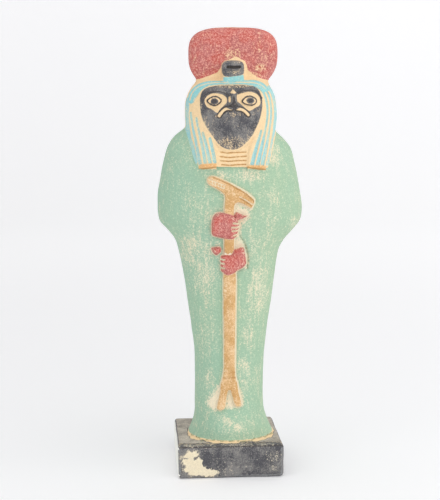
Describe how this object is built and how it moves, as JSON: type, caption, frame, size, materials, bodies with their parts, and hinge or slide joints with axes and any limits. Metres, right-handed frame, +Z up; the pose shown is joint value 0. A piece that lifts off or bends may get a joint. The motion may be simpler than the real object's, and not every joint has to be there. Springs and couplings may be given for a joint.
{
  "type": "falcon-headed egyptian standing figure",
  "caption": "Carved, painted stone figure wrapped like a mummy, with a falcon's face, striped wig, sun disc and forked staff, in one block with its low square plinth.",
  "frame": {"origin": "centre of the plinth's underside, on the surface that the statue stands on", "axes": "+Z up through the figure to its sun disc, -Y towards the viewer whom the face looks at, +X to that viewer's right"},
  "size_m": [0.0795, 0.061, 0.241],
  "materials": {
    "painted_limestone": "matte"
  },
  "bodies": {
    "root": {"statue": "painted_limestone"}
  },
  "joints": []
}
